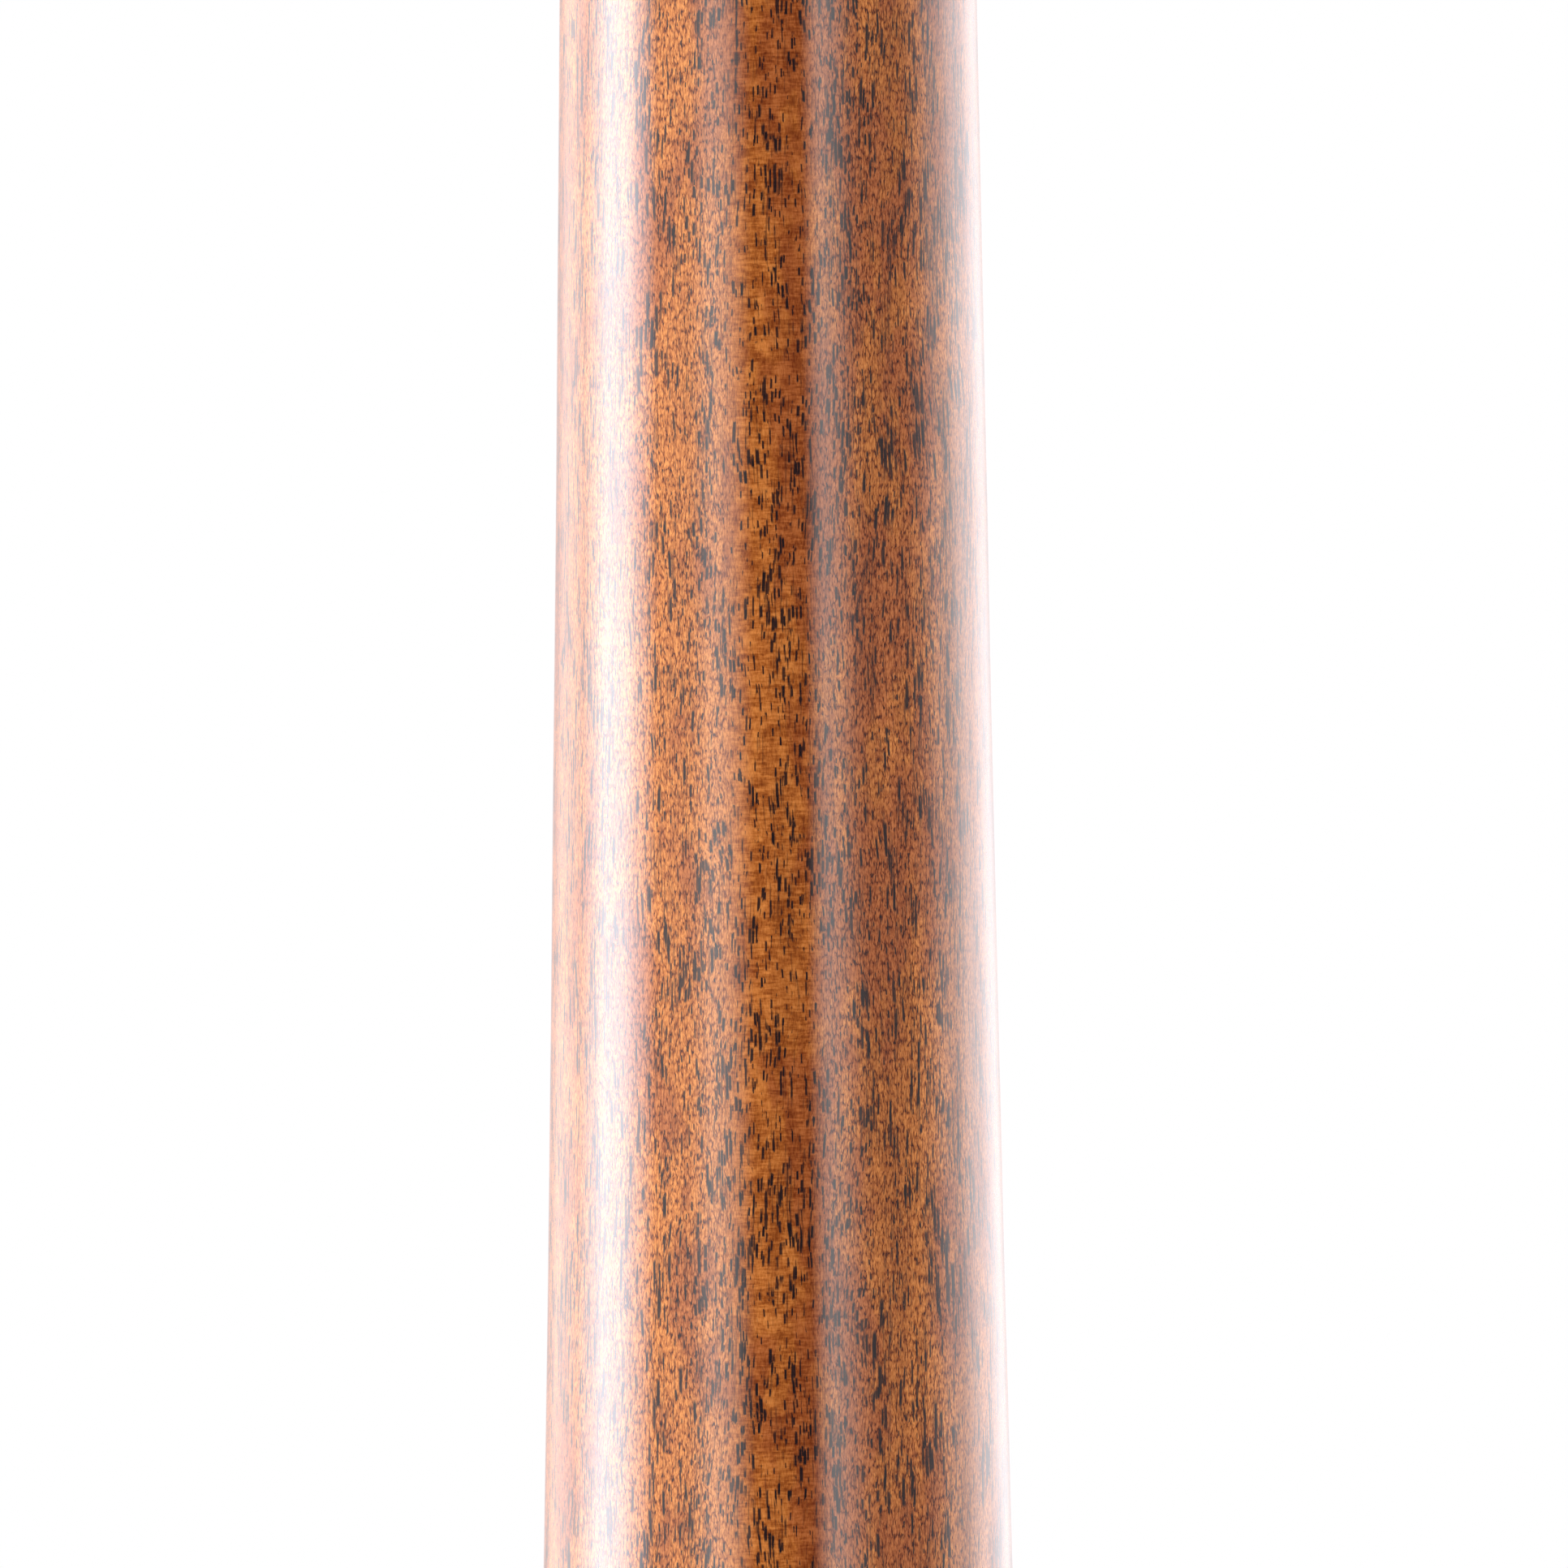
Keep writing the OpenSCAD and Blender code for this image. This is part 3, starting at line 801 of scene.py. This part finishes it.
# %% Wax finish
def wax_finish():
    """Amber wax: light goes a little way in, and the surface keeps finger dents and a dull bloom."""
    material, tree, shader, where = new_material("beeswax")
    spot = scaled(tree, where, 1 / MM)
    tint = noise(tree, spot, 0.22, 4.0, 0.6)["Fac"]
    colour = blend(tree, ramp(tree, tint, 0.3, 0.7), (0.42, 0.2, 0.035, 1), (0.66, 0.38, 0.1, 1))
    marks = use(tree, handling, Place=where, Smear_Size=6.0)
    colour = blend(tree, product(tree, marks["Smears"], 0.22), colour, (0.75, 0.58, 0.33, 1))
    colour = blend(tree, product(tree, marks["Dust"], 0.3), colour, (0.16, 0.075, 0.02, 1))
    tree.links.new(colour, shader.inputs["Base Color"])
    tree.links.new(linear(tree, marks["Smears"], 0.18, 0.36), shader.inputs["Roughness"])
    shader.inputs["Subsurface Weight"].default_value = 0.25
    shader.inputs["Subsurface Radius"].default_value = (1.0, 0.5, 0.2)
    shader.inputs["Subsurface Scale"].default_value = 2 * MM
    relief_of(tree, shader, noise(tree, spot, 0.45, 3.0, 0.5)["Fac"], 0.6, 0.4 * MM)
    return material


wax = wax_finish()
print(f"{wax.name}: {len(wax.node_tree.nodes)} nodes")


# %% [markdown]
# ## Cork lapping and wax lip
# The cork is a strip wound once round the tenon. Its ends overlap in a slanting scarf joint, which leaves a
# faint groove. The wax ring is a little uneven: its crown and its edge swell and sink slowly round the
# mouth. Both are lathe work whose points are moved by a formula, so they stay closed.

# %% Cork lapping
SCARF_HALF, SCARF_DEEP = 0.012, 0.14 * MM  # half the angle that the scarf's groove takes, and its depth
SOFT, SOFT_DEEP = 0.8 * MM, 0.2 * MM  # reach of the soft corners, and how far they draw in


def cork_lap(r, z, angle):
    """A scarf joint in the sheet: a shallow groove that climbs as it goes round, and slightly soft corners."""
    climb = (z - CORK_Z0) / (CORK_Z1 - CORK_Z0)
    line = np.abs((angle - 1.2 - 0.35 * climb + np.pi) % (2 * np.pi) - np.pi)
    groove = np.exp(-(line / SCARF_HALF) ** 2) * SCARF_DEEP
    corner = np.clip(1 - np.minimum(z - CORK_Z0, CORK_Z1 - z) / SOFT, 0, 1) ** 2 * SOFT_DEEP
    return r - (groove + corner) * (r > CORK_R - 0.5 * MM), z


cork_profile = straight((CORK_IN_R, CORK_Z0), (CORK_R, CORK_Z0), (CORK_R, CORK_Z1), (CORK_IN_R, CORK_Z1),
                        (CORK_IN_R, CORK_Z0), step=0.5 * MM)
lathe("cork_lapping", cork_profile, "mouthpiece", "tenon_cork", [cork], turns=360, shape=cork_lap)

# %% Wax lip
WAX_IN, WAX_OUT = MOUTH_R + MOUTH_ROUND + 0.5 * MM, RIM - RIM_ROUND - 0.5 * MM
WAX_SIDE, WAX_CROWN = 1.5 * MM, 4.5 * MM  # height of the straight sides, and of the crown above them


def wax_hand(r, z, angle):
    """Lowers the crown and draws in the edge by slow waves round the ring."""
    phase = np.random.default_rng(11).uniform(0, 2 * np.pi, 6)
    slow = sum(np.sin(n * angle + p) / n for n, p in zip((1, 2, 3, 5, 7, 11), phase)) / 2.2
    up = np.clip((z - RIM_Z) / (WAX_SIDE + WAX_CROWN), 0, 1)
    lean = np.sin(3 * angle + phase[0]) * 0.25 * MM * up
    return r + lean - 0.12 * MM * up * slow, z - up * (0.35 + 0.35 * slow) * MM


# the crown is half an ellipse over the straight sides
t = np.linspace(0, np.pi, 49)
crown_r = WAX_IN + (WAX_OUT - WAX_IN) / 2 * (1 + np.cos(t))
wax_profile = np.concatenate([
    straight((WAX_IN, RIM_Z), (WAX_OUT, RIM_Z), (WAX_OUT, RIM_Z + WAX_SIDE), step=0.4 * MM),
    np.stack([crown_r, RIM_Z + WAX_SIDE + WAX_CROWN * np.sin(t)], axis=1),
    straight((WAX_IN, RIM_Z + WAX_SIDE), (WAX_IN, RIM_Z), step=0.4 * MM)])
lathe("wax_lip", wax_profile, "mouthpiece", "lip_wax", [wax], turns=240, shape=wax_hand)

# %% [markdown]
# ## The tongues
# The loose tongues lie out of sight in the seam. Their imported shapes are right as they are, so they only get
# their own wood.

# %% Tongues
for side in ("seam_tongue_left", "seam_tongue_right"):
    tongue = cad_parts[side]
    tongue.data.materials.clear()
    tongue.data.materials.append(tongue_wood)
print("both tongues are of", tongue_wood.name)

# %% [markdown]
# ## Light
# A glossy pipe is a mirror bent round its axis: what it shows is the studio. A lamp at the angle a from the
# camera appears at a/2 round the pipe. One tall, bright softbox at the left gives the long white highlight.
# Wide, weaker panels at the back whiten both edges. In front, two dim panels leave a dark gap, where the
# lacquer is clearest and the wood shows its own colour.
#
# A lamp that makes a bright enough reflection often lights the wood too much. So some panels are glare only:
# their diffuse light is turned off, and only the lacquer sees them. Of two lamps in one plane a mirror finds
# only the first, so a glare panel that shares another lamp's place stands a little further away. A flat
# lamp's brightness is its power divided by pi and by its area, so the power follows from the brightness.

# %% A softbox
LAMP_Z, LAMP_TALL, LAMP_FAR = 1.15, 2.3, 1.7
BEHIND = LAMP_FAR + 0.1  # a glare panel that shares its place with another lamp


def lamp_object(name, lamp, place, turn):
    """Puts a lamp in the studio, unseen by the camera."""
    made = add_object(name, lamp)
    made.location, made.rotation_euler = place, turn
    made.visible_camera = False
    return made


def softbox(name, start, end, brightness, soft, colour=(1, 1, 1), far=LAMP_FAR, glare_only=False):
    """A panel between two angles from the camera, in degrees to the right, that far from the pipe. Its cloth is
    brightest in the middle: soft gives the shares of its width over which it fades, at its start and its end."""
    middle, half_angle = math.radians((start + end) / 2), math.radians(abs(end - start) / 2)
    wide = 2 * far * math.tan(half_angle)
    lamp = bpy.data.lights.new(name, "AREA")
    lamp.shape, lamp.size, lamp.size_y = "RECTANGLE", wide, LAMP_TALL
    lamp.energy, lamp.color = brightness * math.pi * wide * LAMP_TALL, colour
    tree = fresh_tree(lamp)
    across = parts(tree, put(tree, "ShaderNodeNewGeometry").outputs["Parametric"])[0]
    far_side = sums(tree, "SUBTRACT", 1.0, across)
    fade = product(tree, ramp(tree, across, 0, soft[0]), ramp(tree, far_side, 0, soft[1]))
    glow = put(tree, "ShaderNodeEmission", None, {"Strength": fade})
    put(tree, "ShaderNodeOutputLight", None, {0: glow.outputs[0]})
    place = (far * math.sin(middle), -far * math.cos(middle), LAMP_Z)
    made = lamp_object(name, lamp, place, (math.pi / 2, 0, middle))
    made.visible_diffuse = not glare_only
    print(f"{name}: {wide:.2f} m wide, {lamp.energy:.0f} W")


# %% [markdown]
# ## The lamps in their places
# Angles run from the camera round to the right, so the key stands at -90, straight to the left. A last lamp
# shines up into the bell through an opening in the floor, so that the bore shows from below.

# %% The lamps
COOL, PINKISH = (0.84, 0.84, 1.0), (1.0, 0.97, 1.0)
softbox("key softbox", -119, -61, 7.9, (0.45, 0.45))
softbox("key glare", -119, -61, 7.8, (0.45, 0.45), COOL, BEHIND, glare_only=True)
softbox("back panel left", -172, -102, 4.6, (0.75, 0.25), PINKISH)
softbox("back fill", 104, 208, 1.3, (0.3, 0.4), PINKISH)
softbox("right glow", 78, 132, 1.4, (0.4, 0.4))
softbox("back panel right", 73, 168, 3.2, (0.6, 0.42), (0.98, 0.955, 1.0), BEHIND, glare_only=True)
softbox("front strip left", -46, -9, 3.9, (0.6, 0.5))
softbox("front fill left", -77, -24, 1.7, (0.2, 0.2), glare_only=True)
softbox("front strip right", 16, 52, 3.8, (0.35, 0.7))
softbox("side fill right", 42, 88, 0.5, (0.2, 0.2))

bell_light = bpy.data.lights.new("light into the bell", "AREA")
bell_light.shape, bell_light.size, bell_light.energy = "DISK", 0.7, 9.0
lamp_object("light into the bell", bell_light, (0, 0, -0.8), (math.pi, 0, 0))

# %% [markdown]
# ## Ground and air
# The ground is a pale disc that fades into white, like the sweep of paper in a studio. It is open under the
# foot of the pipe, unseen from above. The air is pure white for the camera but dim as a light, or it would
# wash the dark gap out of the lacquer.

# %% Floor
FLOOR_Z, FLOOR_R, OPEN_R = -0.1 * MM, 3.2, FOOT_R - 1.8 * MM
FADE_FROM, FADE_TO = 0.3, 1.35  # where the paper starts to go white, and where it is white: in front of the lamps
PAPER = ((0.72, 0.72, 0.72, 1), (0.76, 0.76, 0.76, 1))

# point (ring, angle) = (r cos, r sin, floor height)
turn = np.linspace(0, 2 * np.pi, 97)[None, :-1]
radius = np.linspace(OPEN_R, FLOOR_R, 40)[:, None]
disc = np.stack([radius * np.cos(turn), radius * np.sin(turn), FLOOR_Z + 0 * radius * turn], axis=2)
floor_mesh = bpy.data.meshes.new("floor")
floor_mesh.from_pydata(disc.reshape(-1, 3).tolist(), [], quads(*disc.shape[:2], False)[:, ::-1].tolist())
add_object("floor", floor_mesh)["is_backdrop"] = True

paper = bpy.data.materials.new("paper sweep")
tree = fresh_tree(paper)
where = put(tree, "ShaderNodeTexCoord").outputs["Object"]
out = put(tree, "ShaderNodeVectorMath", {"operation": "LENGTH"}, {0: where}).outputs["Value"]
pulp = ramp(tree, noise(tree, where, 900.0, 3.0, 0.6)["Fac"], 0.3, 0.7)
matt = put(tree, "ShaderNodeBsdfDiffuse", None, {"Color": blend(tree, pulp, *PAPER)}).outputs[0]
white = put(tree, "ShaderNodeEmission", None, {"Color": (1, 1, 1, 1), "Strength": 1.0}).outputs[0]
fade = ramp(tree, out, FADE_FROM, FADE_TO)
sweep = put(tree, "ShaderNodeMixShader", None, {0: fade, 1: matt, 2: white}).outputs[0]
# seen from below the paper is clear, so that the open bell shows
below = put(tree, "ShaderNodeNewGeometry").outputs["Backfacing"]
clear = put(tree, "ShaderNodeBsdfTransparent").outputs[0]
sweep = put(tree, "ShaderNodeMixShader", None, {0: below, 1: sweep, 2: clear}).outputs[0]
put(tree, "ShaderNodeOutputMaterial", None, {"Surface": sweep})
floor_mesh.materials.append(paper)
print("the floor is open within", round(OPEN_R / MM, 1), "mm, and the foot reaches", round(FOOT_R / MM, 1), "mm")

# %% Air
AIR_LIGHT = 0.05  # how bright the air is as a light; the camera sees it at 1
world = bpy.data.worlds.new("studio")
bpy.context.scene.world = world
tree = fresh_tree(world)
seen = put(tree, "ShaderNodeLightPath").outputs["Is Camera Ray"]
level = linear(tree, seen, 1.0 - AIR_LIGHT, AIR_LIGHT)
air = put(tree, "ShaderNodeBackground", None, {"Color": (1, 1, 1, 1), "Strength": level})
put(tree, "ShaderNodeOutputWorld", None, {"Surface": air.outputs[0]})
print("air:", world.name)

# %% [markdown]
# ## Camera
# A long lens looks straight at the middle of the pipe, level with it, and takes in about a sixth of its
# length. It sits a little to the right of the axis and is turned by a third of a degree, so the pipe leans
# very slightly. Colours are shown without a film curve, so that white paper is white.

# %% Camera and colour
SENSOR, LENS, DISTANCE = 36, 156.2, 0.9
camera_data = bpy.data.cameras.new("camera")
camera_data.sensor_width, camera_data.lens = SENSOR, LENS
camera_data.clip_start, camera_data.clip_end = 0.05, 60
camera = add_object("camera", camera_data)
camera.location = (1.4 * MM, -DISTANCE, LENGTH / 2)
camera.rotation_euler = (math.pi / 2, math.radians(0.36), 0)
bpy.context.scene.camera = camera
bpy.context.scene.view_settings.view_transform = "Standard"
bpy.context.scene.view_settings.look = "None"
print("the camera takes in", round(DISTANCE * SENSOR / LENS / MM), "mm of the pipe's length")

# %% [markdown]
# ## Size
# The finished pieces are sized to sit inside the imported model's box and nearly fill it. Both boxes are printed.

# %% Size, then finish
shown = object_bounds()
for label, box in (("CAD box", cad_box), ("shown", shown)):
    print(label, [tuple(round(v, 4) for v in corner) for corner in box])
